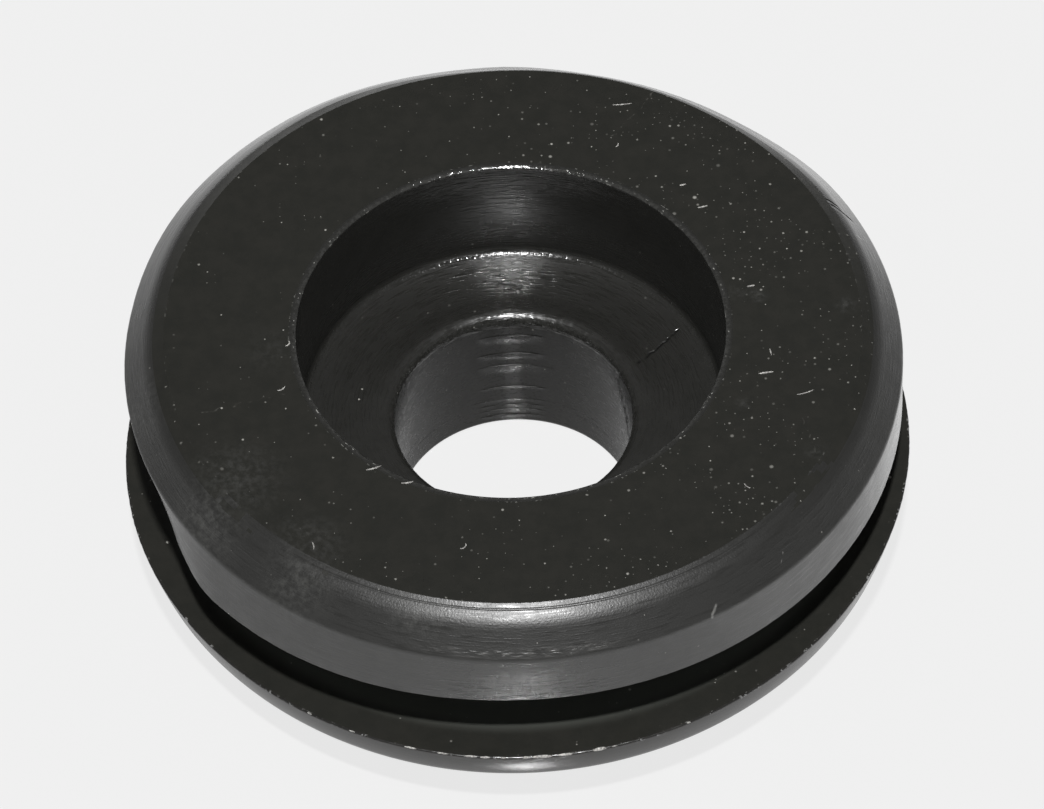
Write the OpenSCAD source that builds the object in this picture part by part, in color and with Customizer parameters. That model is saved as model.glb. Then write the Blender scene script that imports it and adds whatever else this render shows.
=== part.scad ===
// Grooved rubber gasket: a head and a foot flange joined by a neck, with a
// stepped hole down the middle. It is one moulded and turned piece.
// The origin is at the centre of the bottom face, and +Z is the axis.

/* [Head] */
// Outer diameter of the head flange
head_d = 39.4; // [36:0.1:52]
// Thickness of the head flange
head_h = 5.1; // [3.5:0.1:8]
// Height of the bevel on the head's outer edge
bevel_h = 2; // [0.4:0.1:3]
// Width of the bevel on the head's outer edge
bevel_w = 2.1; // [0.4:0.1:3.5]
// How far the middle of the bevel bows outward from a straight bevel
bevel_bow = 0.24; // [0.05:0.01:0.3]

/* [Groove] */
// Height of the groove that grips a panel
groove_h = 4.1; // [2:0.1:8]
// Diameter of the neck at the bottom of the groove
neck_d = 28; // [26:0.1:34]

/* [Foot] */
// Outer diameter of the foot flange, at its sharp upper edge
foot_d = 40; // [36:0.1:52]
// Thickness of the foot flange
foot_h = 5.4; // [4:0.1:9]
// Angle by which the foot's rim leans in below its upper edge
rim_lean = 20; // [5:1:35]
// Radius of the round between the foot's rim and its bottom face
foot_round_r = 5.1; // [1:0.1:5.1]

/* [Hole] */
// Diameter of the counterbore
counterbore_d = 21.7; // [16:0.1:24]
// Depth of the counterbore below the top face
counterbore_depth = 6.6; // [2:0.1:8]
// Radius of the fillet in the corner of the counterbore
counterbore_fillet_r = 0.3; // [0.1:0.1:1]
// Diameter of the through bore
bore_d = 12.1; // [6:0.1:15]

/* [Hidden] */
$fn = 128;
rubber = [0.11, 0.105, 0.1];

total_h = foot_h + groove_h + head_h;
foot_r = foot_d / 2;
shelf_z = total_h - counterbore_depth;
// Overrun of a cut past the face that it breaks through
cut = 1;

// The foot's round touches the bottom face and the leaning rim.
round_r = min(foot_round_r, foot_h * 0.95);
round_touch_z = round_r * (1 - sin(rim_lean));
round_touch_x = foot_r - (foot_h - round_touch_z) * tan(rim_lean);
round_centre = [round_touch_x - round_r * cos(rim_lean), round_r];

// The bevel bows outward along an arc that ends at both of the bevel's edges.
bow_chord = norm([bevel_w, bevel_h]);
bow_r = bow_chord * bow_chord / (8 * bevel_bow) + bevel_bow / 2;
bow_centre = [head_d / 2 - bevel_w / 2, head_h - bevel_h / 2]
  - (bow_r - bevel_bow) * [bevel_h, bevel_w] / bow_chord;

// Half section of the foot flange: a leaning rim that rounds into a flat bottom
module foot_section() {
  polygon([
    [0, 0],
    [round_centre.x, 0],
    round_centre,
    [round_touch_x, round_touch_z],
    [foot_r, foot_h],
    [0, foot_h]
  ]);
  intersection() {
    translate(round_centre) circle(r = round_r);
    square([foot_r, foot_h]);
  }
}

// Half section of the neck, which is the floor of the groove
module neck_section() {
  translate([0, foot_h]) square([neck_d / 2, groove_h]);
}

// Half section of the head flange, with its bowed bevel on the outer edge
module head_section() {
  translate([0, foot_h + groove_h]) {
    polygon([
      [0, 0],
      [head_d / 2, 0],
      [head_d / 2, head_h - bevel_h],
      [head_d / 2 - bevel_w, head_h],
      [0, head_h]
    ]);
    intersection() {
      translate(bow_centre) circle(r = bow_r);
      square([head_d / 2, head_h]);
    }
  }
}

// The counterbore as a solid to cut away: a cylinder whose lower corner is round
module counterbore_cut() {
  r = counterbore_d / 2;
  f = counterbore_fillet_r;
  rotate_extrude() translate([0, shelf_z]) {
    translate([0, f]) square([r, counterbore_depth - f + cut]);
    square([r - f, counterbore_depth]);
    intersection() {
      translate([r - f, f]) circle(r = f, $fn = 48);
      square([r, counterbore_depth]);
    }
  }
}

// The through bore as a solid to cut away
module bore_cut() {
  translate([0, 0, -cut]) cylinder(d = bore_d, h = total_h + 2 * cut);
}

module gasket() {
  color(rubber) difference() {
    rotate_extrude() {
      foot_section();
      neck_section();
      head_section();
    }
    counterbore_cut();
    bore_cut();
  }
}

gasket();
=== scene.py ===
"""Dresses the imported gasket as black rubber, moulded and turned, on a pale table under one lamp.

Lengths are in millimetres until they reach Blender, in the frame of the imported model: +Z is the gasket's
axis, and Z = 0 is its bottom face. A bearing is an angle round that axis, from the front (-Y) towards +X.
"""
import math

import bmesh
import bpy
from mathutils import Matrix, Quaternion, Vector, noise


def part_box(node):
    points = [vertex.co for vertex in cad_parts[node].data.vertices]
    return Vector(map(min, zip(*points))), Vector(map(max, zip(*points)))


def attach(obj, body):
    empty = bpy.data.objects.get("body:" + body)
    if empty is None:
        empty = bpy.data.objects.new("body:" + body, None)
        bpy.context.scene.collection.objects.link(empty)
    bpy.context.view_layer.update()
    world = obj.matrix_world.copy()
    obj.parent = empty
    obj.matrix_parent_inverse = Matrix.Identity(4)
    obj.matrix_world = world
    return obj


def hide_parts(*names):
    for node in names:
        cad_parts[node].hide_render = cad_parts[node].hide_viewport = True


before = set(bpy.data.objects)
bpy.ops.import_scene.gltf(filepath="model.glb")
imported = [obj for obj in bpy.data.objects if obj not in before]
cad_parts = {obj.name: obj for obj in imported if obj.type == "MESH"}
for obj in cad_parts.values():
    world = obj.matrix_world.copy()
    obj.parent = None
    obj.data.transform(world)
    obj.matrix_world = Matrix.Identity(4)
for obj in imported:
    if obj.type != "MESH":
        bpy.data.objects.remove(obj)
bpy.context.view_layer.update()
scene = bpy.context.scene
scene.view_settings.view_transform = "Standard"
MM = 0.001

# ---------------------------------------------------------------- camera
# A long lens on a tripod in front of the table. It looks down on the gasket
# from about 50 degrees and leans a little to one side, as a tripod set by hand does.
CAMERA_ELEVATION = math.radians(50.31)
CAMERA_BEARING = math.radians(-0.09)
CAMERA_ROLL = math.radians(-1.82)
CAMERA_DISTANCE = 458.1
CAMERA_AIM = Vector((0.36, 0, 8.65))
LENS = 310.3
SENSOR = 36


def direction(bearing, elevation):
    """Unit vector towards a bearing and an elevation, both in radians."""
    level = math.cos(elevation)
    return Vector((level * math.sin(bearing), -level * math.cos(bearing), math.sin(elevation)))


camera_data = bpy.data.cameras.new("camera")
camera_data.sensor_width = SENSOR
camera_data.lens = LENS
camera_data.clip_start = 0.01
camera_data.clip_end = 20
camera = bpy.data.objects.new("camera", camera_data)
scene.collection.objects.link(camera)
to_camera = direction(CAMERA_BEARING, CAMERA_ELEVATION)
camera.location = (CAMERA_AIM + to_camera * CAMERA_DISTANCE) * MM
camera.rotation_mode = "QUATERNION"
camera.rotation_quaternion = (-to_camera).to_track_quat("-Z", "Y") @ Quaternion((0, 0, 1), CAMERA_ROLL)
scene.camera = camera

# ---------------------------------------------------------------- gasket
# The gasket is one piece of black nitrile rubber. Its flat faces and the foot's rim come from
# the mould. Its bevel, wall and stepped hole are turned on a lathe, which leaves fine rings.
TOTAL_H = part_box("gasket")[1].z / MM
FOOT_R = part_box("gasket")[1].x / MM
FOOT_H = 5.4
GROOVE_TOP_Z = 9.42
NECK_R = 14
HEAD_R = 19.7
WALL_TOP_Z = TOTAL_H - 2
TOP_FACE_R = HEAD_R - 2.1
BEVEL_BREAK_R = 18.5
BEVEL_BREAK_Z = TOTAL_H - 0.52
COUNTERBORE_R = 10.85
SHELF_Z = TOTAL_H - 6.6
BORE_R = 6.05
RIM_LEAN = math.radians(20)
FOOT_ROUND_R = 5.1

# Corners of the section: radius, height, rounding, how deep its edge is chewed, how many pale
# crumbs stand on it, the face that follows the corner, and the rings on that face.
SECTION = [
    (BORE_R, 0, 0.25, 0, 0, "bore", 7),
    (BORE_R, SHELF_Z, 0.55, 0.014, 0, "shelf", 12),
    (COUNTERBORE_R - 0.12, SHELF_Z, 0.3, 0, 0, "counterbore", 6),
    (COUNTERBORE_R, TOTAL_H - 0.08, 0.05, 0.006, 0.4, "mouth", 2),
    (COUNTERBORE_R + 0.13, TOTAL_H, 0.05, 0.02, 1, "brim", 2),
    (COUNTERBORE_R + 0.35, TOTAL_H - 0.01, 0.3, 0, 0.5, "top", 5),
    (TOP_FACE_R, TOTAL_H, 0.06, 0.01, 0.2, "lip", 6),
    (BEVEL_BREAK_R, BEVEL_BREAK_Z, 1.9, 0, 0, "bevel", 5),
    (HEAD_R, WALL_TOP_Z, 0.35, 0.008, 0, "wall", 6),
    (HEAD_R, GROOVE_TOP_Z, 0.08, 0.012, 0.2, "underside", 3),
    (NECK_R, GROOVE_TOP_Z, 0.25, 0, 0, "neck", 3),
    (NECK_R, FOOT_H, 0.25, 0, 0, "foot_top", 5),
    (FOOT_R, FOOT_H, 0.07, 0.02, 0.7, "rim", 12),
    (FOOT_R - FOOT_H * math.tan(RIM_LEAN), 0, FOOT_ROUND_R, 0, 0, "bottom", 4),
]
# Steps along a corner's rounding: so many, and so many more for each millimetre of its arc.
ROUND_STEPS = 4
ROUND_STEPS_PER_MM = 1.6
# Steps round the axis, where an edge is chewed and elsewhere.
FINE_STEPS = 720
PLAIN_STEPS = 360
# How near to its corners a face has its first and last ring.
EDGE_MARGIN = 0.05
# Material slots, in the order in which the materials are added below, and the slot of each face. A face
# that isn't named here has the moulded skin.
MOULDED, TURNED, BORED, RIM, LINT_AND_GLINTS, TORN = range(6)
MATERIAL_OF_FACE = {
    "lip": TURNED, "bevel": TURNED, "wall": TURNED, "shelf": BORED, "counterbore": BORED, "mouth": BORED,
    "brim": BORED, "rim": RIM, "bore": TORN}

# Heights of the ridges that the boring tool tore up at the back of the bore, and each ridge's own
# section: heights above the ridge's own, and how far it stands in from the bore's wall.
BORE_RIDGES = (0.65, 1.05, 1.45, 1.85, 2.9, 4.6, 5.6, 7.0)
RIDGE_PROFILE = (
    (-0.05, 0), (-0.012, 0.046), (0, 0.046), (0.009, 0.031), (0.018, 0.016), (0.028, 0), (0.07, 0))
RIDGE_CLEARANCE = 0.2
# They fade in round the back, as minus the cosine of the bearing goes from the first to the second.
RIDGES_BACK = (0.95, 0.995)

# How the real gasket strays from the turned form. Four bearings in degrees, or four heights, say where a
# change starts, where it is full, where it starts to fade and where it ends.
HOLE_SHIFT = -0.09
FOOT_SHIFT = 0.05
FOOT_OVAL = 0.09
FOOT_WAIST = 0.13
FOOT_TILT = 0.0114
FOOT_DIP = 0.01
FOOT_LIFT = 0.3
FOOT_LIFT_BEARINGS = (45, 82, 105, 140)
RIM_CROWN_R = 6
RIM_CROWN_HEIGHTS = (3.1, 3.9)
RIM_TUCK = 0.2
RIM_TUCK_HEIGHTS = (0.3, 1.6, 2.2, 3.2)
WALL_BULGE = 0.3
WALL_BULGE_BEARINGS = (-60, -50, -42, 5)
WALL_LEAN = 1.1
WALL_LEAN_BEARINGS = (-150, -110, -76, -54)
WALL_TUCK = 0.14
WALL_SAG = 0.12
SHOULDER_SWELL = 0.2
SHOULDER_SWELL_BEARINGS = (-175, -145, -125, -98)
LIP_DROP = 0.3
BACK_TRIM = 0.15
BACK_TRIM_START_R = 16
BACK_TRIM_BEARINGS = (118, 145, 180, 212)
SIDE_TRIM = 0.22
SIDE_TRIM_START_R = 18
SIDE_TRIM_BEARINGS = (121, 144, 165, 182)
SHELF_RISE = 0.27
SHELF_RISE_R = 9.0
SHELF_RISE_WIDTH = 1.75
BORE_RIM_RAISE = 0.3
BORE_RIM_RAISE_R = 8
# Nothing nearer to the axis than this is bent with the foot.
CORE_R = 12
# The scale of the chewing on the edges.
BITES_PER_MM = 4.5
# The turned lip is worn away where the cosine of the bearing is under this, give or take patches.
LIP_WORN_FROM = 0.62
LIP_PATCHINESS = 0.35
LIP_PATCHES_PER_MM = 1.3

# The tear down the right of the bore: its bearing at the top, how far it turns on its way down, its
# depth and half width, and the lips that it threw up on both sides.
TEAR_BEARING = 117
TEAR_TURN = 17
TEAR_TOP_Z = 7.6
TEAR_BEND_Z = 5.5
TEAR_FOOT_Z = 3.5
TEAR_HEIGHTS = (2.2, 3.2, 7.4, 7.9)
# It lies between these bearings, in radians.
TEAR_SPAN = (1.5, 2.3)
TEAR_DEPTH = 0.14
TEAR_HALF_WIDTH = 0.14
TEAR_LIP = 0.04
TEAR_LIP_OFFSET = 0.2
TEAR_LIP_HALF_WIDTH = 0.08


def ease(value, start, end):
    """0 before start, 1 after end, and a smooth step between them."""
    share = min(max((value - start) / (end - start), 0), 1)
    return share * share * (3 - 2 * share)


def window(value, rise, full, hold, fall):
    """0 up to rise, 1 from full to hold, and 0 again from fall on."""
    return ease(value, rise, full) * (1 - ease(value, hold, fall))


def section_rings():
    """Rings of the lathe mesh in order: radius, height, face, steps round, chewing, crumbs, ridge depth."""
    corners = [Vector(row[:2]) for row in SECTION]
    rounds = []
    for i, row in enumerate(SECTION):
        arrive = (corners[i] - corners[i - 1]).normalized()
        leave = (corners[(i + 1) % len(corners)] - corners[i]).normalized()
        turn = arrive.angle(leave)
        cut = row[2] * math.tan(turn / 2)
        side = 1 if arrive.x * leave.y - arrive.y * leave.x > 0 else -1
        normal = Vector((-arrive.y, arrive.x)) * side
        centre = corners[i] - arrive * cut + normal * row[2]
        steps = ROUND_STEPS + int(row[2] * turn * ROUND_STEPS_PER_MM)
        arc = []
        for k in range(steps + 1):
            swing = turn * k / steps
            arc.append(centre - normal * row[2] * math.cos(swing) + arrive * row[2] * math.sin(swing))
        rounds.append(arc)
    rings = []
    for i, (_, _, _, chew, crumbs, face, count) in enumerate(SECTION):
        steps = FINE_STEPS if chew else PLAIN_STEPS
        around = FINE_STEPS if chew and SECTION[(i + 1) % len(SECTION)][3] else PLAIN_STEPS
        for point in rounds[i]:
            rings.append((point.x, point.y, face, steps, chew, crumbs, 0))
        start, end = rounds[i][-1], rounds[(i + 1) % len(rounds)][0]
        length = (end - start).length
        margin = min(EDGE_MARGIN, length / 8) / length
        for k in range(count):
            point = start.lerp(end, margin + (1 - 2 * margin) * k / (count - 1))
            if face == "bore" and any(abs(point.y - ridge) < RIDGE_CLEARANCE for ridge in BORE_RIDGES):
                continue
            rings.append((point.x, point.y, face, around, 0, 0, 0))
        if face == "bore":
            for ridge in BORE_RIDGES:
                for rise, depth in RIDGE_PROFILE:
                    rings.append((BORE_R, ridge + rise, face, around, 0, 0, depth))
            first = len(rounds[0])
            rings[first:] = sorted(rings[first:], key=lambda ring: ring[1])
    return rings


def bent_foot(radius, height, around, degrees):
    """A point's radius, lift and shift on the foot, which is tilted, low at the front left."""
    outer = ease(radius, NECK_R, FOOT_R)
    hold = min(height / FOOT_H, 1) * (1 - ease(height, FOOT_H, GROOVE_TOP_Z)) * ease(radius, CORE_R, NECK_R)
    lift = hold * radius * (FOOT_TILT * around.x - FOOT_DIP * around.y)
    # It is bent up a little further on its high side.
    lift += hold * outer * FOOT_LIFT * window(degrees, *FOOT_LIFT_BEARINGS)
    # At the front its rim is crowned under the edge and tucked in further down.
    below = FOOT_H - min(height, FOOT_H)
    crown = below * math.tan(RIM_LEAN) - below ** 2 / 2 / RIM_CROWN_R
    crown = crown * ease(height, *RIM_CROWN_HEIGHTS) - RIM_TUCK * window(height, *RIM_TUCK_HEIGHTS)
    bent = FOOT_OVAL * around.x ** 2 - FOOT_WAIST * (2 * around.x * around.y) ** 2
    radius += outer * (crown * max(around.y, 0) + bent * ease(height, 0, 1))
    return radius, lift, FOOT_SHIFT * outer


def bent_head(radius, height, around, degrees):
    """A point's radius and lift on the head, whose wall bulges at the front left and leans in behind that."""
    down = min(max((WALL_TOP_Z - height) / (WALL_TOP_Z - GROOVE_TOP_Z), 0), 1)
    ahead = down ** 2 * max(around.y, 0) ** 8
    outer = ease(radius, NECK_R, HEAD_R)
    bulge = WALL_BULGE * window(degrees, *WALL_BULGE_BEARINGS)
    bulge -= WALL_LEAN * window(degrees, *WALL_LEAN_BEARINGS)
    swell = SHOULDER_SWELL * window(degrees, *SHOULDER_SWELL_BEARINGS) * ease(radius, TOP_FACE_R, HEAD_R)
    lift = -WALL_SAG * ahead * outer
    radius += (bulge * down - WALL_TUCK * ahead) * outer + swell
    # Round the back it was trimmed closer, and its lip was cut away steeply.
    back = window(degrees % 360, *BACK_TRIM_BEARINGS)
    on_lip = window(radius, TOP_FACE_R - 0.05, BEVEL_BREAK_R, BEVEL_BREAK_R + 0.1, HEAD_R)
    lift -= LIP_DROP * back * on_lip
    radius -= BACK_TRIM * back * ease(radius, BACK_TRIM_START_R, BEVEL_BREAK_R)
    radius -= SIDE_TRIM * window(degrees, *SIDE_TRIM_BEARINGS) * ease(radius, SIDE_TRIM_START_R, HEAD_R)
    return radius, lift


def settled(radius, height, chew, ridge, bearing):
    """Where a point of the turned form lies on the real gasket, which is bent, worn and off centre."""
    degrees = (math.degrees(bearing) + 180) % 360 - 180
    around = Vector((math.sin(bearing), math.cos(bearing), 0))
    lift = 0
    shift = HOLE_SHIFT * (1 - ease(radius, COUNTERBORE_R, NECK_R))
    if radius > CORE_R and height < GROOVE_TOP_Z:
        radius, lift, foot_shift = bent_foot(radius, height, around, degrees)
        shift += foot_shift
    if radius > NECK_R and height > GROOVE_TOP_Z - 0.2:
        radius, head_lift = bent_head(radius, height, around, degrees)
        lift += head_lift
    if SHELF_RISE_R < radius < COUNTERBORE_R + 0.01 and height > SHELF_Z - 1:
        # The shelf turns up towards its corner, where the tool was pressed in.
        rise = ((min(radius, COUNTERBORE_R - 0.1) - SHELF_RISE_R) / SHELF_RISE_WIDTH) ** 2
        lift += SHELF_RISE * rise * (1 - ease(height, SHELF_Z + 0.3, SHELF_Z + 1.6))
    if radius < BORE_RIM_RAISE_R and height > SHELF_Z - 1:
        # The rim of the bore stands up a little at the back.
        raised = ease(radius, BORE_RIM_RAISE_R, 6.6) * ease(height, SHELF_Z - 0.9, SHELF_Z - 0.1)
        lift += BORE_RIM_RAISE * max(-around.y, 0) * raised
    if ridge:
        # The ridges come and go round the back of the bore, and aren't quite level.
        patch = 0.75 + 1.1 * noise.noise(Vector((around.x * 5, around.y * 5, height * 4)))
        radius -= ridge * min(max(patch, 0), 1.3) * ease(-around.y, *RIDGES_BACK)
        lift += 0.05 * noise.noise(Vector((around.x * 1.5, around.y * 1.5, height * 3 + 9)))
    if chew:
        spot = Vector((around.x * radius, around.y * radius, height)) * BITES_PER_MM
        radius += chew * noise.noise(spot)
        lift += chew * noise.noise(spot + Vector((0, 0, 40)))
    return Vector((radius * around.x + shift, -radius * around.y, height + lift)) * MM


def torn(point, bearing):
    """A point of the bore's wall, pushed outward where a sharp edge tore a groove down it."""
    height = point.z / MM
    turned = (TEAR_TOP_Z - height) / (TEAR_TOP_Z - TEAR_FOOT_Z)
    if height > TEAR_BEND_Z:
        turned = ease(height, TEAR_TOP_Z, TEAR_FOOT_Z)
    line = math.radians(TEAR_BEARING - TEAR_TURN * turned)
    away = abs(bearing - line) * BORE_R
    depth = TEAR_DEPTH * max(1 - away / TEAR_HALF_WIDTH, 0)
    depth -= TEAR_LIP * max(1 - abs(away - TEAR_LIP_OFFSET) / TEAR_LIP_HALF_WIDTH, 0)
    depth *= window(height, *TEAR_HEIGHTS) * (0.8 + 0.5 * noise.noise(Vector((0, 0, height * 2.5))))
    return point + Vector((point.x, point.y, 0)).normalized() * depth * MM


rings = section_rings()
gasket_mesh = bpy.data.meshes.new("gasket_rubber")
build = bmesh.new()
lathe_layer = build.verts.layers.float_vector.new("lathe")
edge_layer = build.verts.layers.float.new("edge")
ring_verts = []
face_start = {}
along = 0.0
for i, (radius, height, face, steps, chew, crumbs, ridge) in enumerate(rings):
    if i:
        along += math.hypot(radius - rings[i - 1][0], height - rings[i - 1][1])
    face_start.setdefault(face, along)
    verts = []
    for k in range(steps):
        bearing = 2 * math.pi * k / steps
        point = settled(radius, height, chew, ridge, bearing)
        if face == "bore" and TEAR_SPAN[0] < bearing < TEAR_SPAN[1]:
            point = torn(point, bearing)
        vert = build.verts.new(point)
        vert[lathe_layer] = (math.sin(bearing), math.cos(bearing), along)
        vert[edge_layer] = crumbs
        verts.append(vert)
    ring_verts.append(verts)
for i, here in enumerate(ring_verts):
    there = ring_verts[(i + 1) % len(ring_verts)]
    face = rings[i][2]
    fine, coarse = (here, there) if len(here) >= len(there) else (there, here)
    ratio = len(fine) // len(coarse)
    for k in range(len(coarse)):
        loop = [fine[(k * ratio + j) % len(fine)] for j in range(ratio + 1)]
        loop += [coarse[(k + 1) % len(coarse)], coarse[k]]
        new_face = build.faces.new(loop)
        new_face.smooth = True
        new_face.material_index = MATERIAL_OF_FACE.get(face, MOULDED)
        if face == "lip":
            # Towards the sides the turned face is worn away in patches.
            ahead = math.cos(2 * math.pi * k / len(coarse))
            patch = noise.noise(new_face.verts[0].co / MM * LIP_PATCHES_PER_MM)
            if ahead + LIP_PATCHINESS * patch < LIP_WORN_FROM:
                new_face.material_index = MOULDED
bmesh.ops.recalc_face_normals(build, faces=build.faces)

# Lint lies half pressed into the top: radius, bearing and heading in degrees, length, curl in radians
# and thickness.
LINT = [
    (14.1, -11.5, 60, 0.55, 2.4, 0.04), (11.2, -39, 20, 0.8, 0.5, 0.045), (11.1, -29, 10, 0.6, 0.6, 0.045),
    (13.1, 75, 8, 0.75, 0.1, 0.055), (13.1, 81, 100, 0.45, 0.2, 0.04), (15.3, 72, 20, 0.9, 0.5, 0.04),
    (15.6, 47, 130, 0.45, -1.1, 0.035), (17.0, -37, 100, 0.5, 0.7, 0.035), (16.1, 158, 5, 1.0, 0.3, 0.035),
    (12.6, 128, 15, 0.5, 0.3, 0.05), (12.1, -74, 40, 0.5, 1.6, 0.04), (11.3, -88, 70, 0.45, 2.2, 0.045),
    (13.4, 155, 70, 0.3, 1.5, 0.04), (12.9, 136, 15, 0.35, 0.3, 0.05), (12.4, 101, 10, 0.4, 0.6, 0.06),
]
# Crumbs of moulding flash on the front of the foot's edge, painted in the pale lint colour as the lamp's
# glints there: painted glints. Bearing in degrees, length and thickness.
FLASH_GLINTS = [
    (-33, 0.25, 0.04), (-26, 0.3, 0.04), (-17, 0.6, 0.055), (-12.2, 0.55, 0.045), (-8.2, 0.6, 0.055),
    (-6.1, 0.5, 0.06), (-3.5, 0.3, 0.045), (-0.2, 0.35, 0.07), (2.1, 1.0, 0.09), (5.4, 0.7, 0.075),
    (10.4, 0.65, 0.1), (12.6, 0.25, 0.04), (24, 0.2, 0.05)]
LINT_SIDES = 5
LINT_STEPS = 9
fibres_and_glint_crumbs = [(radius, degrees, TOTAL_H, heading, length, curl, thickness)
          for radius, degrees, heading, length, curl, thickness in LINT]
# The flash crumbs are drawn as lint and take its pale colour: painted glints.
fibres_and_glint_crumbs += [(FOOT_R - 0.04, degrees, FOOT_H - 0.02, degrees, length, 0, thickness)
           for degrees, length, thickness in FLASH_GLINTS]
for radius, degrees, height, heading, length, curl, thickness in fibres_and_glint_crumbs:
    centre = settled(radius, height, 0, 0, math.radians(degrees)) / MM
    swing = math.radians(heading) - curl / 2
    towards = Vector((math.cos(math.radians(heading)), math.sin(math.radians(heading)), 0))
    point = centre - towards * length / 2
    hoops = []
    for k in range(LINT_STEPS):
        step = Vector((math.cos(swing), math.sin(swing), 0))
        side = Vector((-step.y, step.x, 0))
        taper = thickness * (0.35 + 0.65 * math.sin(math.pi * (k + 0.5) / LINT_STEPS))
        hoop = []
        for j in range(LINT_SIDES):
            turn = 2 * math.pi * j / LINT_SIDES
            offset = side * math.cos(turn) * taper + Vector((0, 0, 1)) * (math.sin(turn) + 0.4) * taper
            hoop.append(build.verts.new((point + offset) * MM))
        hoops.append(hoop)
        point += step * length / (LINT_STEPS - 1)
        swing += curl / (LINT_STEPS - 1)
    for here, there in zip(hoops, hoops[1:]):
        for j in range(LINT_SIDES):
            loop = (here[j], here[(j + 1) % LINT_SIDES], there[(j + 1) % LINT_SIDES], there[j])
            new_face = build.faces.new(loop)
            new_face.smooth = True
            new_face.material_index = LINT_AND_GLINTS
    for hoop in (hoops[0], hoops[-1]):
        build.faces.new(hoop).material_index = LINT_AND_GLINTS
build.to_mesh(gasket_mesh)
build.free()
gasket = bpy.data.objects.new("gasket_rubber", gasket_mesh)
scene.collection.objects.link(gasket)


def new_group(name, inputs, outputs):
    """An empty node group with float or vector inputs and float outputs: returns tree, inlet and outlet."""
    group = bpy.data.node_groups.new(name, "ShaderNodeTree")
    for socket, value in inputs.items():
        kind = "NodeSocketFloat" if isinstance(value, (int, float)) else "NodeSocketVector"
        group.interface.new_socket(name=socket, in_out="INPUT", socket_type=kind).default_value = value
    for socket in outputs:
        group.interface.new_socket(name=socket, in_out="OUTPUT", socket_type="NodeSocketFloat")
    return group, group.nodes.new("NodeGroupInput"), group.nodes.new("NodeGroupOutput")


def math_node(tree, operation, first, second=None, third=None, clamp=False):
    """The output of a Math node whose inputs are sockets or numbers."""
    node = tree.nodes.new("ShaderNodeMath")
    node.operation = operation
    node.use_clamp = clamp
    for socket, value in zip(node.inputs, (first, second, third)):
        if isinstance(value, (int, float)):
            socket.default_value = value
        elif value is not None:
            tree.links.new(value, socket)
    return node.outputs[0]


def vector_node(tree, operation, first, second=None, output="Vector"):
    """An output of a Vector Math node whose inputs are sockets or vectors."""
    node = tree.nodes.new("ShaderNodeVectorMath")
    node.operation = operation
    for socket, value in zip(node.inputs, (first, second)):
        if isinstance(value, (tuple, Vector)):
            socket.default_value = value
        elif value is not None:
            tree.links.new(value, socket)
    return node.outputs[output]


def ramp_node(tree, value, low, high, start=0.0, end=1.0):
    """The output of a smooth Map Range node from low and high to start and end: sockets or numbers."""
    node = tree.nodes.new("ShaderNodeMapRange")
    node.interpolation_type = "SMOOTHSTEP"
    for socket, amount in zip(node.inputs[:5], (value, low, high, start, end)):
        if isinstance(amount, (int, float)):
            socket.default_value = amount
        else:
            tree.links.new(amount, socket)
    return node.outputs["Result"]


def axis_of(tree, vector, axis):
    """The X, Y or Z of a vector socket."""
    split = tree.nodes.new("ShaderNodeSeparateXYZ")
    tree.links.new(vector, split.inputs["Vector"])
    return split.outputs[axis]


def place_in_mm(tree):
    """The point being shaded, in millimetres in the gasket's own frame."""
    place = tree.nodes.new("ShaderNodeTexCoord")
    return vector_node(tree, "MULTIPLY", place.outputs["Object"], (1 / MM, 1 / MM, 1 / MM))


def place_on_lathe(tree):
    """The sine and cosine of the bearing of the point being shaded, and how far along the section it is."""
    lathe = tree.nodes.new("ShaderNodeAttribute")
    lathe.attribute_name = "lathe"
    return lathe.outputs["Vector"]


def noise_node(tree, vector, scale, detail, roughness=0.5):
    """The value of a Noise Texture node at a vector socket."""
    node = tree.nodes.new("ShaderNodeTexNoise")
    node.inputs["Detail"].default_value = detail
    node.inputs["Roughness"].default_value = roughness
    tree.links.new(vector, node.inputs["Vector"])
    if isinstance(scale, (int, float)):
        node.inputs["Scale"].default_value = scale
    else:
        tree.links.new(scale, node.inputs["Scale"])
    return node.outputs["Fac"]


# Turning rings: fine lines round the axis. Height goes to a bump and Lines to the colour.
rings_group, inlet, outlet = new_group(
    "turning_rings", {"Lines per mm": 6.0, "Waver": 2.0}, ("Height", "Lines"))
spread = rings_group.nodes.new("ShaderNodeCombineXYZ")
rings_group.links.new(inlet.outputs["Waver"], spread.inputs["X"])
rings_group.links.new(inlet.outputs["Waver"], spread.inputs["Y"])
rings_group.links.new(inlet.outputs["Lines per mm"], spread.inputs["Z"])
track = vector_node(rings_group, "MULTIPLY", place_on_lathe(rings_group), spread.outputs["Vector"])
fine_rings = noise_node(rings_group, track, 1.0, 1.5, 0.65)
rings_group.links.new(fine_rings, outlet.inputs["Height"])
rings_group.links.new(ramp_node(rings_group, fine_rings, 0.45, 0.72), outlet.inputs["Lines"])

# A tool line: one line round the axis at a distance along the section, broken by Dashes as far as
# Breaks says.
line_group, inlet, outlet = new_group(
    "tool_line", {"Dashes": 1.0, "At": 0.0, "Width": 0.05, "Breaks": 0.0}, ("Mask",))
along = axis_of(line_group, place_on_lathe(line_group), "Z")
off_line = math_node(line_group, "ABSOLUTE", math_node(line_group, "SUBTRACT", along, inlet.outputs["At"]))
on_line = ramp_node(line_group, off_line, inlet.outputs["Width"], 0.0)
kept = math_node(line_group, "SUBTRACT", 1.0, inlet.outputs["Breaks"])
dashes = math_node(line_group, "MULTIPLY_ADD", inlet.outputs["Dashes"], inlet.outputs["Breaks"], kept)
line_group.links.new(math_node(line_group, "MULTIPLY", on_line, dashes), outlet.inputs["Mask"])

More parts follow.
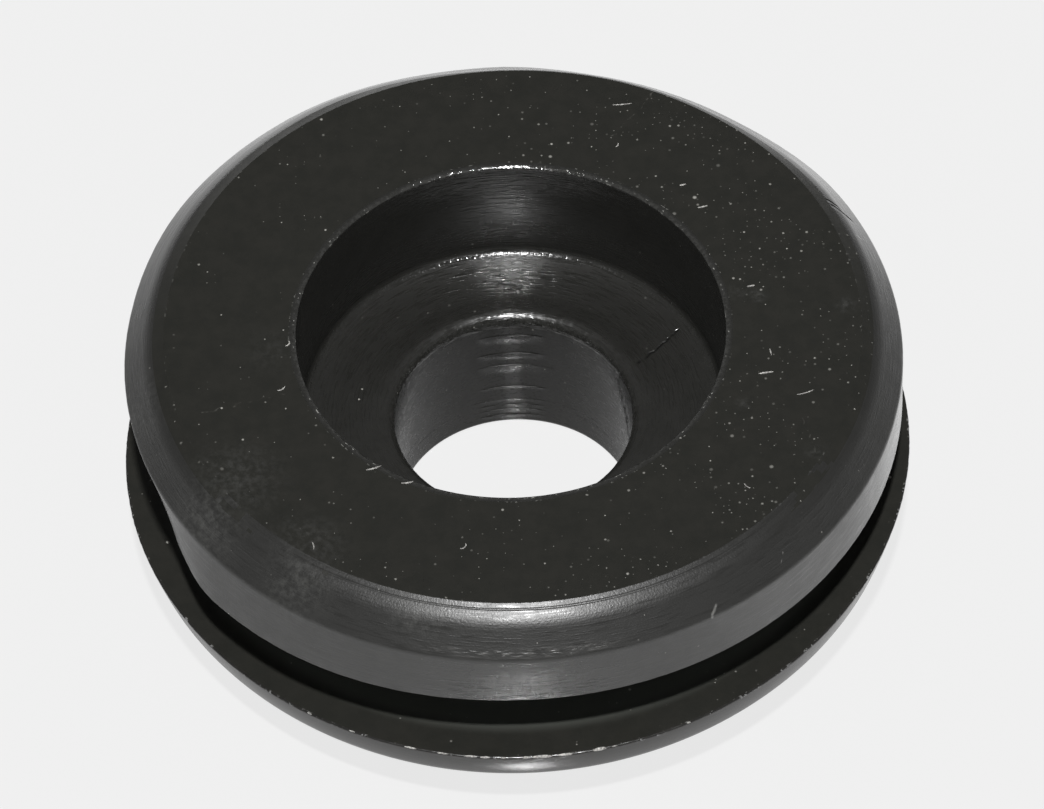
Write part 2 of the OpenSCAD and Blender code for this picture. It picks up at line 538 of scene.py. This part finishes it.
# Grain: the mould's fine skin as Height, and slow light and dark patches as Mottle.
grain_group, inlet, outlet = new_group("rubber_grain", {"Grain per mm": 7.0}, ("Height", "Mottle"))
spot_mm = place_in_mm(grain_group)
skin = noise_node(grain_group, spot_mm, inlet.outputs["Grain per mm"], 1.5, 0.6)
patches = noise_node(grain_group, spot_mm, 0.9, 5.0, 0.72)
grain_group.links.new(skin, outlet.inputs["Height"])
grain_group.links.new(ramp_node(grain_group, patches, 0.3, 0.7), outlet.inputs["Mottle"])


def new_dust_group(name, dimensions):
    """Round dust specks of mixed sizes, laid out in 2D for a level face or in 3D for any other.

    Share is how many of the cells hold a speck, and Size is the largest radius in millimetres.
    """
    group, inlet, outlet = new_group(
        name, {"Cells per mm": 1.6, "Share": 0.4, "Size": 0.07, "Crowding": 0.5}, ("Mask",))
    place = place_in_mm(group)
    cells = group.nodes.new("ShaderNodeTexVoronoi")
    cells.voronoi_dimensions = dimensions
    group.links.new(place, cells.inputs["Vector"])
    group.links.new(inlet.outputs["Cells per mm"], cells.inputs["Scale"])
    luck = group.nodes.new("ShaderNodeSeparateColor")
    group.links.new(cells.outputs["Color"], luck.inputs["Color"])
    crowd = ramp_node(group, noise_node(group, place, 0.28, 0.0), 0.35, 0.65, -1.0, 0.0)
    crowd = math_node(group, "MULTIPLY_ADD", crowd, inlet.outputs["Crowding"], 1.0)
    chance = math_node(group, "MULTIPLY", inlet.outputs["Share"], crowd)
    held = math_node(group, "LESS_THAN", luck.outputs["Red"], chance)
    apart = math_node(group, "DIVIDE", cells.outputs["Distance"], inlet.outputs["Cells per mm"])
    size = math_node(group, "POWER", luck.outputs["Green"], 3.0)
    size = math_node(group, "MULTIPLY_ADD", size, 0.65, 0.35)
    size = math_node(group, "MULTIPLY", size, inlet.outputs["Size"])
    speck = ramp_node(group, apart, size, math_node(group, "MULTIPLY", size, 0.25))
    strength = math_node(group, "POWER", luck.outputs["Blue"], 2.0)
    strength = math_node(group, "MULTIPLY_ADD", strength, 0.88, 0.12)
    speck = math_node(group, "MULTIPLY", math_node(group, "MULTIPLY", speck, strength), held)
    group.links.new(speck, outlet.inputs["Mask"])
    return group


level_dust = new_dust_group("level_dust", "2D")
dust_group = new_dust_group("dust", "3D")

# Scratch: a thin mark from one point to another, in millimetres. Place is the point being shaded, made to
# wander, and the mark is broken where Gaps is low, as far as Breaks says.
scratch_group, inlet, outlet = new_group(
    "scratch",
    {"Place": (0, 0, 0), "Gaps": 1.0, "From": (0, 0, 0), "To": (1, 0, 0), "Width": 0.05, "Breaks": 0.5},
    ("Mask",))
run = vector_node(scratch_group, "SUBTRACT", inlet.outputs["To"], inlet.outputs["From"])
reach = vector_node(scratch_group, "SUBTRACT", inlet.outputs["Place"], inlet.outputs["From"])
share = math_node(
    scratch_group, "DIVIDE", vector_node(scratch_group, "DOT_PRODUCT", reach, run, "Value"),
    vector_node(scratch_group, "DOT_PRODUCT", run, run, "Value"), clamp=True)
nearest = scratch_group.nodes.new("ShaderNodeVectorMath")
nearest.operation = "SCALE"
scratch_group.links.new(run, nearest.inputs[0])
scratch_group.links.new(share, nearest.inputs["Scale"])
away = vector_node(scratch_group, "DISTANCE", reach, nearest.outputs["Vector"], "Value")
line = ramp_node(scratch_group, away, inlet.outputs["Width"], 0.0)
kept = math_node(scratch_group, "SUBTRACT", 1.0, inlet.outputs["Breaks"])
gaps = math_node(scratch_group, "MULTIPLY_ADD", inlet.outputs["Gaps"], inlet.outputs["Breaks"], kept)
scratch_group.links.new(math_node(scratch_group, "MULTIPLY", line, gaps), outlet.inputs["Mask"])

# Scuff: a rubbed patch round a point, in millimetres, broken up by Marks.
scuff_group, inlet, outlet = new_group(
    "scuff", {"Marks": 1.0, "Centre": (0, 0, 0), "Reach": 2.0}, ("Mask",))
away = vector_node(scuff_group, "DISTANCE", place_in_mm(scuff_group), inlet.outputs["Centre"], "Value")
patch = ramp_node(scuff_group, away, inlet.outputs["Reach"], 0.0)
rubbed = math_node(scuff_group, "MULTIPLY", patch, inlet.outputs["Marks"])
scuff_group.links.new(rubbed, outlet.inputs["Mask"])


def new_material(name):
    """An empty node material with its output: returns the material, its tree and the Principled BSDF."""
    material = bpy.data.materials.new(name)
    material.use_nodes = True
    tree = material.node_tree
    tree.nodes.clear()
    output = tree.nodes.new("ShaderNodeOutputMaterial")
    shader = tree.nodes.new("ShaderNodeBsdfPrincipled")
    tree.links.new(shader.outputs["BSDF"], output.inputs["Surface"])
    return material, tree, shader


def effect(tree, group, output="Mask", **values):
    """An output of a node group placed in a material, with its inputs set to values or linked to sockets."""
    node = tree.nodes.new("ShaderNodeGroup")
    node.node_tree = group
    for name, value in values.items():
        socket = node.inputs[name.replace("_", " ")]
        if isinstance(value, bpy.types.NodeSocket):
            tree.links.new(value, socket)
        else:
            socket.default_value = value
    return node.outputs[output]


def summed(tree, parts):
    """The sum of (socket, weight) pairs."""
    total = 0.0
    for socket, weight in parts:
        total = math_node(tree, "MULTIPLY_ADD", socket, weight, total)
    return total


def tinted(tree, shader, base, layers):
    """Give the shader a base colour covered by layers, each a mask socket and a colour."""
    colour = None
    for mask, cover in layers:
        mix = tree.nodes.new("ShaderNodeMix")
        mix.data_type = "RGBA"
        tree.links.new(mask, mix.inputs["Factor"])
        if colour is None:
            mix.inputs[6].default_value = (*base, 1)
        else:
            tree.links.new(colour, mix.inputs[6])
        mix.inputs[7].default_value = (*cover, 1)
        colour = mix.outputs[2]
    tree.links.new(colour, shader.inputs["Base Color"])


def roughened(tree, shader, base, parts):
    """Give the shader a base roughness and add the sum of (socket, weight) pairs to it."""
    tree.links.new(math_node(tree, "ADD", summed(tree, parts), base), shader.inputs["Roughness"])


def bumped(tree, shader, parts):
    """Bump the shader by the sum of (socket, weight) pairs, of which 1 stands BUMP_H millimetres high."""
    bump = tree.nodes.new("ShaderNodeBump")
    bump.inputs["Strength"].default_value = 1.0
    bump.inputs["Distance"].default_value = BUMP_H * MM
    tree.links.new(summed(tree, parts), bump.inputs["Height"])
    tree.links.new(bump.outputs["Normal"], shader.inputs["Normal"])


def spot(radius, degrees, height):
    """A point of the gasket in millimetres, from its radius, its bearing in degrees and its height."""
    return direction(math.radians(degrees), 0) * radius + Vector((0, 0, height))


def wandering_place(tree, wobble):
    """The point being shaded in millimetres, moved by up to half of wobble, so that marks aren't ruled."""
    place = place_in_mm(tree)
    stir = tree.nodes.new("ShaderNodeTexNoise")
    stir.inputs["Scale"].default_value = 1.7
    stir.inputs["Detail"].default_value = 1.0
    tree.links.new(place, stir.inputs["Vector"])
    stirred = vector_node(tree, "SUBTRACT", stir.outputs["Color"], (0.5, 0.5, 0.5))
    stirred = vector_node(tree, "MULTIPLY", stirred, (wobble, wobble, wobble))
    return vector_node(tree, "ADD", place, stirred)


def scratched(tree, place, gaps, marks):
    """The sum of scratches, each from one point to another with a width, a share of breaks and a strength."""
    parts = []
    for start, end, width, breaks, weight in marks:
        mark = effect(
            tree, scratch_group, Place=place, Gaps=gaps, From=start, To=end, Width=width, Breaks=breaks)
        parts.append((mark, weight))
    return summed(tree, parts)


def scuffed(tree, patches):
    """The sum of scuffs, each round a centre with a reach and a strength."""
    marks = ramp_node(tree, noise_node(tree, place_in_mm(tree), 3.2, 4.0, 0.65), 0.36, 0.78)
    return summed(tree, [
        (effect(tree, scuff_group, Marks=marks, Centre=centre, Reach=reach), weight)
        for centre, reach, weight in patches])


def edge_crumbs(tree, gaps):
    """A mask of the few pale crumbs that stand on the chewed edges."""
    edge = tree.nodes.new("ShaderNodeAttribute")
    edge.attribute_name = "edge"
    clumps = ramp_node(tree, noise_node(tree, place_in_mm(tree), 1.3, 1.0), 0.5, 0.62)
    crumbs = math_node(tree, "MULTIPLY", ramp_node(tree, gaps, 0.9, 1.0), clumps)
    return math_node(tree, "MULTIPLY", edge.outputs["Fac"], crumbs)


def fine_gaps(tree):
    """A mask that breaks marks up into pieces about a fifth of a millimetre long."""
    return ramp_node(tree, noise_node(tree, place_in_mm(tree), 5.0, 1.0), 0.38, 0.62)


def round_the_axis(tree, start, end):
    """A mask from 0 to 1 as the cosine of the bearing goes from start to end."""
    return ramp_node(tree, axis_of(tree, place_on_lathe(tree), "Y"), start, end)


DUST_COLOUR = (0.5, 0.49, 0.45)
SCUFF_COLOUR = (0.06, 0.06, 0.056)
BUMP_H = 0.006

# The moulded skin: satin, faintly mottled, dusty, with a few scratches. Deep in the groove, where the lamp's
# shadow falls, it is painted lighter: painted fill light.
moulded, tree, shader = new_material("moulded_rubber")
mottle = effect(tree, grain_group, "Mottle", Grain_per_mm=7.0)
grain = effect(tree, grain_group, "Height", Grain_per_mm=7.0)
gaps = fine_gaps(tree)
across = axis_of(tree, place_in_mm(tree), "X")
up = axis_of(tree, place_in_mm(tree), "Z")
dusty = ramp_node(tree, across, -14.0, 12.0, 0.14, 0.52)
dusty = math_node(tree, "MULTIPLY", dusty, ramp_node(tree, up, FOOT_H, TOTAL_H, 0.25, 1.0))
big_dust = effect(tree, level_dust, Cells_per_mm=0.95, Share=dusty, Size=0.14, Crowding=0.5)
fine_dust = effect(tree, level_dust, Cells_per_mm=2.4, Share=dusty, Size=0.095, Crowding=0.8)
dust = summed(tree, [(big_dust, 1.0), (fine_dust, 0.7)])
scratches = scratched(tree, wandering_place(tree, 0.5), gaps, [
    (spot(17.4, 154, TOTAL_H), spot(13.6, 157, TOTAL_H), 0.06, 0.9, 0.5),
    (spot(16.4, -73, TOTAL_H), spot(12, -72, TOTAL_H), 0.07, 0.8, 0.3),
    (spot(17.2, 60, TOTAL_H), spot(15.7, 66, TOTAL_H), 0.05, 0.6, 0.3),
    (spot(18, 35, FOOT_H), spot(16.6, 33, FOOT_H), 0.08, 0.3, 0.3)])
scuffs = scuffed(tree, [
    (spot(16.7, -57, TOTAL_H), 3.4, 0.8), (spot(17.2, -38, TOTAL_H), 3.0, 0.7),
    (spot(12.2, -86, TOTAL_H), 2.2, 0.3), (spot(12.6, 98, TOTAL_H), 0.7, 1.0),
    (spot(16.9, 93, TOTAL_H), 0.8, 0.9), (spot(12.6, 65, TOTAL_H), 0.6, 0.8),
    (spot(17.2, 60, TOTAL_H), 0.8, 0.8), (spot(11.6, 100, TOTAL_H), 0.9, 0.5)])
level_place = vector_node(tree, "MULTIPLY", place_in_mm(tree), (1, 1, 0))
from_axis = vector_node(tree, "LENGTH", level_place, output="Value")
# Painted fill light: the skin is painted lighter deep in the groove, inside the lamp's shadow.
in_groove = ramp_node(tree, up, WALL_TOP_Z, GROOVE_TOP_Z + 0.2)
groove_fill_light = math_node(tree, "MULTIPLY", in_groove, ramp_node(tree, from_axis, 18.6, 17.4))
tinted(tree, shader, (0.0172, 0.0175, 0.0144), [
    (mottle, (0.0248, 0.0244, 0.0206)), (groove_fill_light, (0.1, 0.106, 0.095)), (scuffs, SCUFF_COLOUR),
    (scratches, (0.16, 0.155, 0.14)), (dust, DUST_COLOUR), (edge_crumbs(tree, gaps), (0.28, 0.28, 0.26))])
roughened(tree, shader, 0.44, [(mottle, -0.05), (dust, 0.4), (scuffs, 0.15)])
bumped(tree, shader, [(grain, 0.5), (big_dust, 4.0), (scratches, -2.0)])
gasket_mesh.materials.append(moulded)


def streaked(tree, shader, stretch):
    """Stretch the shine across the turning rings, which run round the axis."""
    shader.inputs["Anisotropic"].default_value = stretch
    shader.inputs["Anisotropic Rotation"].default_value = 0.25
    tangent = tree.nodes.new("ShaderNodeTangent")
    tangent.direction_type = "RADIAL"
    tangent.axis = "Z"
    tree.links.new(tangent.outputs["Tangent"], shader.inputs["Tangent"])


# The turned bevel and wall: streaked by the tool, worn dull at the front and still sleek round the back.
turned, tree, shader = new_material("turned_rubber")
streaked(tree, shader, 0.25)
shader.inputs["Specular IOR Level"].default_value = 0.95
mottle = effect(tree, grain_group, "Mottle", Grain_per_mm=9.0)
grain = effect(tree, grain_group, "Height", Grain_per_mm=9.0)
gaps = fine_gaps(tree)
broad = effect(tree, rings_group, "Height", Lines_per_mm=3.5, Waver=1.6)
lines = effect(tree, rings_group, "Height", Lines_per_mm=11.0, Waver=9.0)
glints = effect(tree, rings_group, "Lines", Lines_per_mm=9.0, Waver=12.0)
lip_line = effect(
    tree, line_group, Dashes=round_the_axis(tree, 0.3, 0.75), At=face_start["lip"] + 0.34, Width=0.09,
    Breaks=0.9)
ahead = round_the_axis(tree, 0.95, 0.995)
# Torn marks at the foot of the bevel: real in the bump, and painted lighter at the front only, where the lamp
# catches them: painted glints.
dashes = effect(tree, rings_group, "Lines", Lines_per_mm=9.0, Waver=34.0)
dashes = math_node(tree, "MULTIPLY", dashes, ahead)
torn_band_and_glints = effect(tree, line_group, Dashes=dashes, At=face_start["wall"] - 0.25, Width=0.4, Breaks=1.0)
streaks = effect(tree, line_group, Dashes=glints, At=face_start["bevel"] + 1.2, Width=1.2, Breaks=1.0)
wall_glints = math_node(tree, "MULTIPLY", glints, ahead)
wall_streaks = effect(
    tree, line_group, Dashes=wall_glints, At=face_start["wall"] + 2.3, Width=1.6, Breaks=1.0)
dust = effect(tree, dust_group, Cells_per_mm=3.0, Share=0.13, Size=0.08, Crowding=0.8)
place = wandering_place(tree, 0.25)
# Nicks at the back of the bevel: dents in the bump, painted near black inside for the shade in the cuts:
# painted shade.
nicks_and_painted_shade = scratched(tree, place, gaps, [
    (spot(18.3, 115.5, 14.25), spot(19.5, 112, 13.2), 0.2, 0.1, 1.0),
    (spot(18.2, 117, 14.3), spot(18.8, 115, 13.9), 0.16, 0.3, 0.8)])
scratches = scratched(tree, place, gaps, [
    (spot(18.6, 109.3, 14.1), spot(19.7, 108.4, 12.9), 0.13, 0.0, 1.0),
    (spot(19.45, 29.6, 13.0), spot(19.65, 28.6, 12.6), 0.13, 0.4, 0.7),
    (spot(19.6, 41, 12.8), spot(19.1, 43, 13.4), 0.05, 0.2, 0.8)])
scuffs = scuffed(tree, [
    (spot(18.8, -55, 13.6), 3.4, 0.8), (spot(18.8, -36, 13.8), 3.0, 0.8), (spot(18.2, -16, 14.2), 2.2, 0.8),
    (spot(19.2, -80, 13.3), 3.2, 0.5)])
tinted(tree, shader, (0.0180, 0.0179, 0.0165), [
    (mottle, (0.0240, 0.0238, 0.0222)), (torn_band_and_glints, (0.07, 0.069, 0.064)), (scuffs, (0.085, 0.085, 0.08)),
    (scratches, (0.4, 0.4, 0.38)), (dust, DUST_COLOUR), (nicks_and_painted_shade, (0.004, 0.004, 0.004)),
    (edge_crumbs(tree, gaps), (0.2, 0.2, 0.2))])
on_wall = ramp_node(tree, axis_of(tree, place_in_mm(tree), "Z"), WALL_TOP_Z + 0.1, WALL_TOP_Z - 0.3)
wall_sleek = math_node(tree, "MULTIPLY", on_wall, round_the_axis(tree, 0.6, 0.3))
wall_ahead = math_node(tree, "MULTIPLY", on_wall, ahead)
roughened(tree, shader, 0.44, [
    (mottle, -0.05), (dust, 0.3), (glints, -0.10), (round_the_axis(tree, 0.1, -0.5), -0.33),
    (wall_sleek, -0.2), (wall_ahead, -0.14), (nicks_and_painted_shade, 0.3)])
bumped(tree, shader, [
    (grain, 1.6), (broad, 1.0), (lines, 0.7), (lip_line, -3.0), (torn_band_and_glints, 1.8),
    (streaks, 0.9), (wall_streaks, 3.2), (nicks_and_painted_shade, -14.0), (scratches, 3.0)])
gasket_mesh.materials.append(turned)

# The counterbore and its shelf: bored, with coarser and less regular rings, and sleek.
bored, tree, shader = new_material("bored_rubber")
streaked(tree, shader, 0.2)
shader.inputs["Specular IOR Level"].default_value = 1.0
mottle = effect(tree, grain_group, "Mottle", Grain_per_mm=8.0)
grain = effect(tree, grain_group, "Height", Grain_per_mm=8.0)
gaps = fine_gaps(tree)
broad = effect(tree, rings_group, "Height", Lines_per_mm=2.5, Waver=2.5)
lines = effect(tree, rings_group, "Height", Lines_per_mm=8.0, Waver=7.0)
glints = effect(tree, rings_group, "Lines", Lines_per_mm=8.0, Waver=9.0)
# The rims of the bore and the counterbore are painted lighter in broken lines: partly rubbed edges, partly
# painted highlight that strengthens the lamp's glints along them.
torn_rim_and_highlight = effect(tree, line_group, Dashes=gaps, At=face_start["shelf"] + 0.3, Width=0.3, Breaks=0.7)
corner = effect(tree, line_group, Dashes=gaps, At=face_start["counterbore"] + 0.1, Width=0.25, Breaks=0.8)
brim = effect(tree, line_group, Dashes=gaps, At=face_start["brim"] - 0.05, Width=0.3, Breaks=0.7)
wall_band = effect(tree, line_group, At=face_start["mouth"] - 2.0, Width=3.2)
shelf_glints = math_node(tree, "MULTIPLY", glints, round_the_axis(tree, -0.86, -0.985))
shelf_streaks = effect(
    tree, line_group, Dashes=shelf_glints, At=face_start["shelf"] + 3.2, Width=1.5, Breaks=1.0)
dust = effect(tree, dust_group, Cells_per_mm=1.5, Share=0.6, Size=0.1, Crowding=0.5)
# Hairline scratches on the shelf: grooves in the bump, painted near black inside for the shade in them:
# painted shade.
hairline_and_painted_shade = scratched(tree, wandering_place(tree, 0.4), gaps, [
    (spot(10.6, 122, SHELF_Z), spot(7.0, 115, SHELF_Z), 0.12, 0.15, 1.0),
    (spot(8.8, 184, SHELF_Z), spot(8.35, 177, SHELF_Z), 0.13, 0.2, 1.0),
    (spot(8.35, 177, SHELF_Z), spot(8.3, 182, SHELF_Z), 0.1, 0.2, 1.0)])
tinted(tree, shader, (0.0180, 0.0179, 0.0160), [
    (mottle, (0.0235, 0.0233, 0.0213)), (torn_rim_and_highlight, (0.04, 0.04, 0.037)), (hairline_and_painted_shade, (0.005, 0.005, 0.005)),
    (brim, (0.05, 0.05, 0.047)), (dust, DUST_COLOUR), (edge_crumbs(tree, gaps), (0.45, 0.45, 0.42))])
roughened(tree, shader, 0.34, [
    (mottle, -0.05), (dust, 0.3), (glints, -0.16), (torn_rim_and_highlight, -0.12), (corner, -0.1), (brim, -0.14),
    (shelf_streaks, -0.1), (wall_band, -0.15)])
bumped(tree, shader, [
    (grain, 0.4), (broad, 0.7), (lines, 2.0), (glints, 1.2), (torn_rim_and_highlight, 2.6), (corner, 1.6), (brim, 2.0),
    (shelf_streaks, 3.0), (hairline_and_painted_shade, -7.0)])
gasket_mesh.materials.append(bored)

# The foot's rim: the smoothest face, straight from a polished ring of the mould.
rim, tree, shader = new_material("rim_rubber")
streaked(tree, shader, 0.2)
shader.inputs["Specular IOR Level"].default_value = 0.94
mottle = effect(tree, grain_group, "Mottle", Grain_per_mm=9.0)
lines = effect(tree, rings_group, "Height", Lines_per_mm=6.0, Waver=5.0)
dust = effect(tree, dust_group, Cells_per_mm=3.0, Share=0.06, Size=0.08, Crowding=0.5)
tinted(tree, shader, (0.0165, 0.0160, 0.0145), [
    (mottle, (0.0225, 0.0215, 0.0195)), (dust, DUST_COLOUR),
    (edge_crumbs(tree, fine_gaps(tree)), (0.3, 0.3, 0.3))])
roughened(tree, shader, 0.21, [(mottle, 0.05), (dust, 0.4)])
bumped(tree, shader, [(lines, 0.6)])
gasket_mesh.materials.append(rim)

# Lint: pale cotton and skin fibres. The same pale colour on the flash crumbs at the front of the foot's edge
# is painted glints.
lint_and_glint_paint, tree, shader = new_material("lint_and_painted_glints")
weave = noise_node(tree, place_in_mm(tree), 9.0, 2.0)
tinted(tree, shader, (0.28, 0.27, 0.26), [(ramp_node(tree, weave, 0.35, 0.65), (0.7, 0.69, 0.65))])
shader.inputs["Roughness"].default_value = 0.35
gasket_mesh.materials.append(lint_and_glint_paint)

# The bore: duller than the counterbore, torn up in rings by a blunt tool. Its colour is a little darker than
# the other faces': painted shade inside the bore.
bore, tree, shader = new_material("torn_rubber")
streaked(tree, shader, 0.4)
shader.inputs["Specular IOR Level"].default_value = 0.26
mottle = effect(tree, grain_group, "Mottle", Grain_per_mm=8.0)
grain = effect(tree, grain_group, "Height", Grain_per_mm=8.0)
lines = effect(tree, rings_group, "Height", Lines_per_mm=8.0, Waver=14.0)
glints = effect(tree, rings_group, "Lines", Lines_per_mm=6.0, Waver=18.0)
dust = effect(tree, dust_group, Cells_per_mm=2.0, Share=0.3, Size=0.1, Crowding=0.5)
tinted(tree, shader, (0.0150, 0.0149, 0.0135), [
    (mottle, (0.0195, 0.0193, 0.0177)), (dust, DUST_COLOUR)])
roughened(tree, shader, 0.34, [(mottle, -0.05), (dust, 0.3), (glints, -0.1)])
bumped(tree, shader, [(grain, 0.4), (lines, 0.7)])
gasket_mesh.materials.append(bore)

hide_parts("gasket")
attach(gasket, "root")

# ---------------------------------------------------------------- table and light
# The gasket lies on a matt white table. One small lamp stands in front and high up,
# and the rest of the light comes off the table and from the dim room.
TABLE_SIZE = 6
TABLE_COLOUR = (0.888, 0.888, 0.888, 1)
LAMP_ELEVATION = math.radians(67.8)
LAMP_DISTANCE = 1.8
LAMP_SIZE = 0.09
LAMP_POWER = 27.5
# How much of its own colour the table shows to the camera, over any shadow.
TABLE_GLOW = 0.88
# The pale backdrop that glossy rubber mirrors: its strength behind and at the right, and in metres how
# far from the axis each part lies.
BACKDROP_GLOW = 0.8
BACKDROP_START = 0.03
BACKDROP_FULL = 0.08
SIDE_GLOW = 0.35
SIDE_GLOW_START = (0.014, 0.022)
SIDE_GLOW_END = (0.05, 0.03)
# The room's brightness at eye level and overhead, which it reaches at this height of a ray's direction.
ROOM_LEVEL = 0.35
ROOM_OVERHEAD = 0.1
ROOM_OVERHEAD_Z = 0.3

table_mesh = bpy.data.meshes.new("table")
half = TABLE_SIZE / 2
corners = [(-half, -half, 0), (half, -half, 0), (half, half, 0), (-half, half, 0)]
table_mesh.from_pydata(corners, [], [(0, 1, 2, 3)])
table = bpy.data.objects.new("table", table_mesh)
scene.collection.objects.link(table)
table_paint = bpy.data.materials.new("table_paint")
table_paint.use_nodes = True
tree = table_paint.node_tree
tree.nodes.clear()
output = tree.nodes.new("ShaderNodeOutputMaterial")
paint = tree.nodes.new("ShaderNodeBsdfPrincipled")
paint.inputs["Base Color"].default_value = TABLE_COLOUR
paint.inputs["Roughness"].default_value = 0.1
paint.inputs["Specular IOR Level"].default_value = 1.0
glow = tree.nodes.new("ShaderNodeEmission")
glow.inputs["Color"].default_value = TABLE_COLOUR
blend = tree.nodes.new("ShaderNodeMixShader")
path = tree.nodes.new("ShaderNodeLightPath")
tree.links.new(math_node(tree, "MULTIPLY", path.outputs["Is Camera Ray"], TABLE_GLOW), blend.inputs["Fac"])
tree.links.new(paint.outputs["BSDF"], blend.inputs[1])
tree.links.new(glow.outputs["Emission"], blend.inputs[2])
place = tree.nodes.new("ShaderNodeTexCoord").outputs["Object"]
far = ramp_node(tree, vector_node(tree, "LENGTH", place, output="Value"), BACKDROP_START, BACKDROP_FULL)
straight_back = axis_of(tree, vector_node(tree, "NORMALIZE", place), "Y")
behind = math_node(tree, "MULTIPLY", ramp_node(tree, straight_back, 0.75, 0.98, 0.0, BACKDROP_GLOW), far)
across = axis_of(tree, place, "X")
beside = math_node(
    tree, "MULTIPLY", ramp_node(tree, across, *SIDE_GLOW_START), ramp_node(tree, across, *SIDE_GLOW_END))
beside = math_node(tree, "MULTIPLY", beside, SIDE_GLOW)
sheen = math_node(tree, "MAXIMUM", behind, beside)
sheen = math_node(tree, "MULTIPLY", sheen, path.outputs["Is Glossy Ray"])
backdrop = tree.nodes.new("ShaderNodeEmission")
backdrop.inputs["Color"].default_value = TABLE_COLOUR
tree.links.new(sheen, backdrop.inputs["Strength"])
both = tree.nodes.new("ShaderNodeAddShader")
tree.links.new(blend.outputs["Shader"], both.inputs[0])
tree.links.new(backdrop.outputs["Emission"], both.inputs[1])
tree.links.new(both.outputs["Shader"], output.inputs["Surface"])
table_mesh.materials.append(table_paint)

lamp_data = bpy.data.lights.new("lamp", "AREA")
lamp_data.shape = "DISK"
lamp_data.size = LAMP_SIZE
lamp_data.energy = LAMP_POWER
lamp = bpy.data.objects.new("lamp", lamp_data)
scene.collection.objects.link(lamp)
to_lamp = direction(0, LAMP_ELEVATION)
lamp.location = to_lamp * LAMP_DISTANCE
lamp.rotation_mode = "QUATERNION"
lamp.rotation_quaternion = (-to_lamp).to_track_quat("-Z", "Y")

room = bpy.data.worlds.new("room")
scene.world = room
room.use_nodes = True
tree = room.node_tree
tree.nodes.clear()
output = tree.nodes.new("ShaderNodeOutputWorld")
room_light = tree.nodes.new("ShaderNodeBackground")
pale_wall = tree.nodes.new("ShaderNodeBackground")
pale_wall.inputs["Color"].default_value = TABLE_COLOUR
blend = tree.nodes.new("ShaderNodeMixShader")
path = tree.nodes.new("ShaderNodeLightPath")
place = tree.nodes.new("ShaderNodeTexCoord")
shade = tree.nodes.new("ShaderNodeValToRGB")
shade.color_ramp.elements[0].position = 0
shade.color_ramp.elements[0].color = (ROOM_LEVEL, ROOM_LEVEL, ROOM_LEVEL, 1)
shade.color_ramp.elements[1].position = ROOM_OVERHEAD_Z
shade.color_ramp.elements[1].color = (ROOM_OVERHEAD, ROOM_OVERHEAD, ROOM_OVERHEAD, 1)
tree.links.new(axis_of(tree, place.outputs["Generated"], "Z"), shade.inputs["Fac"])
tree.links.new(shade.outputs["Color"], room_light.inputs["Color"])
tree.links.new(path.outputs["Is Camera Ray"], blend.inputs["Fac"])
tree.links.new(room_light.outputs["Background"], blend.inputs[1])
tree.links.new(pale_wall.outputs["Background"], blend.inputs[2])
tree.links.new(blend.outputs["Shader"], output.inputs["Surface"])
